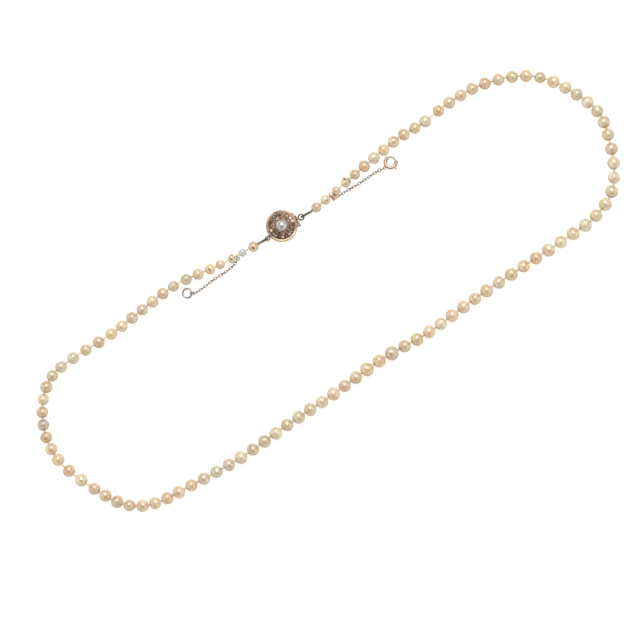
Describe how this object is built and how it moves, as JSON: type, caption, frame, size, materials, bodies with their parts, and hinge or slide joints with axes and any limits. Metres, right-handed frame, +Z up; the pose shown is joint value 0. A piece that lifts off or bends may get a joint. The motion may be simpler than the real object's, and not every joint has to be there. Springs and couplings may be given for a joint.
{
  "type": "pearl necklace",
  "caption": "Strand of graduated round pearls knotted on thread, laid as a closed loop, with a round jewelled box clasp and short safety chains that end in a jump ring and a bolt ring.",
  "frame": {"origin": "middle of the laid loop's outline, on the surface that it lies on", "axes": "+X along the length of the loop's box, +Y across it, +Z up from the surface, on which the clasp lies with its stones upwards"},
  "size_m": [0.2102, 0.1594, 0.0062],
  "materials": {
    "nacre": "cream nacre with a soft lustre",
    "silk": "twisted silk, waxed by wear",
    "gimp_wire": "fine coiled wire, darkened",
    "rose_gold": "polished rose gold, softly worn",
    "yellow_gold": "polished yellow gold, worn",
    "silver": "dark silver, grain set",
    "grey_nacre": "silver-white nacre, high lustre",
    "rose_cuts": "small rose-cut stones",
    "chain_gold": "fine gold wire, tarnished in the joints",
    "jump_ring_gold": "greyish gold wire",
    "bolt_metal": "pale greenish spring metal"
  },
  "bodies": {
    "necklace": {"pearls_left": "nacre", "pearls_right": "nacre", "thread": "silk", "gimp_left": "gimp_wire", "gimp_right": "gimp_wire", "clasp_box": "rose_gold", "clasp_tongue": "yellow_gold", "clasp_setting": "silver", "clasp_pearl": "grey_nacre", "clasp_stones_outer": "rose_cuts", "clasp_stones_inner": "rose_cuts", "thread_ring": "chain_gold", "hook_ring": "chain_gold", "chain_left": "chain_gold", "end_ring_left": "chain_gold", "jump_ring": "jump_ring_gold", "chain_bail": "yellow_gold", "chain_right": "chain_gold", "end_ring_right": "chain_gold", "bolt_ring_link": "chain_gold", "bolt_ring_case": "rose_gold"},
    "bolt": {"bolt_ring_bolt": "bolt_metal"}
  },
  "joints": [
    {"name": "bolt_slide", "type": "hinge", "parent": "necklace", "child": "bolt", "pos_m": [0.0223, 0.04628, 0.0006], "axis": [0, 0, 1], "range_deg": [-65, 0], "stiffness_Nm_per_rad": 0.0005}
  ]
}
